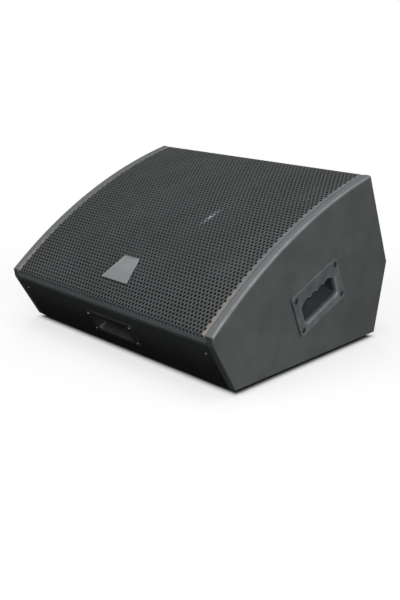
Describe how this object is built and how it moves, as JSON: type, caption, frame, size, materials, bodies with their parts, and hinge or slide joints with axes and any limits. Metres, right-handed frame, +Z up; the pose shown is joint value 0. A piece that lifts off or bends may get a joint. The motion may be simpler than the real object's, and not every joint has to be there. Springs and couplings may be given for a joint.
{
  "type": "stage monitor wedge",
  "caption": "Two-way floor monitor loudspeaker with a wedge cabinet, curved perforated front, recessed side handles and a front connector dish.",
  "frame": {"origin": "centre of the bounding box at the floor, under the rubber feet", "axes": "+X across the cabinet to its right seen from the front, -Y to the front edge, +Z up"},
  "size_m": [0.6868, 0.573, 0.3836],
  "materials": {
    "badge_metal": "bare satin aluminium, blank",
    "bare_plywood": "bare birch plywood and battens",
    "basket_casting": "black-coated die casting",
    "cabinet_paint": "plywood under a fine-textured satin black paint",
    "cable_jacket": "flexible cable jacket",
    "capacitor_film": "wrapped film capacitor",
    "ceramic": "ceramic resistor body",
    "circuit_board": "circuit board",
    "cone_paper": "black pulp cone",
    "copper": "copper winding",
    "ferrite": "dull ferrite",
    "foot_rubber": "black rubber",
    "grille_paint": "powder-coated perforated steel",
    "moulded_plastic": "moulded black plastic",
    "plated_steel": "zinc-plated steel",
    "screw_zinc": "blackened zinc-plated steel",
    "treated_cloth": "treated cloth"
  },
  "bodies": {
    "cabinet": {"badge_plate": "badge_metal", "baffle_batten_left": "bare_plywood", "baffle_batten_right": "bare_plywood", "baffle_board": "bare_plywood", "bottom_panel": "cabinet_paint", "cable_crossover_to_horn": "cable_jacket", "cable_crossover_to_woofer": "cable_jacket", "cable_sockets_to_crossover": "cable_jacket", "connector_dish": "moulded_plastic", "crossover_board": "circuit_board", "crossover_capacitor": "capacitor_film", "crossover_coil": "copper", "crossover_resistor": "ceramic", "dish_screw_1": "screw_zinc", "dish_screw_2": "screw_zinc", "dish_screw_3": "screw_zinc", "dish_screw_4": "screw_zinc", "foot_front_left": "foot_rubber", "foot_front_right": "foot_rubber", "foot_rear_left": "foot_rubber", "foot_rear_right": "foot_rubber", "front_panel": "cabinet_paint", "front_rail": "bare_plywood", "grille_screw_1": "screw_zinc", "grille_screw_2": "screw_zinc", "grille_screw_3": "screw_zinc", "grille_sheet": "grille_paint", "handle_left": "moulded_plastic", "handle_left_screw_1": "screw_zinc", "handle_left_screw_2": "screw_zinc", "handle_left_screw_3": "screw_zinc", "handle_left_screw_4": "screw_zinc", "handle_right": "moulded_plastic", "handle_right_screw_1": "screw_zinc", "handle_right_screw_2": "screw_zinc", "handle_right_screw_3": "screw_zinc", "handle_right_screw_4": "screw_zinc", "horn_driver_cover": "moulded_plastic", "horn_driver_magnet": "ferrite", "horn_flare": "moulded_plastic", "port_tube_lower": "moulded_plastic", "port_tube_upper": "moulded_plastic", "rear_lower_panel": "cabinet_paint", "rear_rail": "bare_plywood", "rear_upper_panel": "cabinet_paint", "side_panel_left": "cabinet_paint", "side_panel_right": "cabinet_paint", "speaker_socket_left": "moulded_plastic", "speaker_socket_right": "moulded_plastic", "woofer_basket": "basket_casting", "woofer_front_plate": "plated_steel", "woofer_magnet": "ferrite", "woofer_spider": "treated_cloth", "woofer_surround": "treated_cloth", "woofer_yoke": "plated_steel"},
    "cone_assembly": {"woofer_cone": "cone_paper", "woofer_dust_cap": "cone_paper", "woofer_voice_coil": "copper"}
  },
  "joints": [
    {"name": "woofer_cone_travel", "type": "slide", "parent": "cabinet", "child": "cone_assembly", "axis": [0, -0.4483, 0.8939], "range_m": [-0.006, 0.006], "stiffness_N_per_m": 5000, "deforming": ["woofer_surround", "woofer_spider"]}
  ]
}
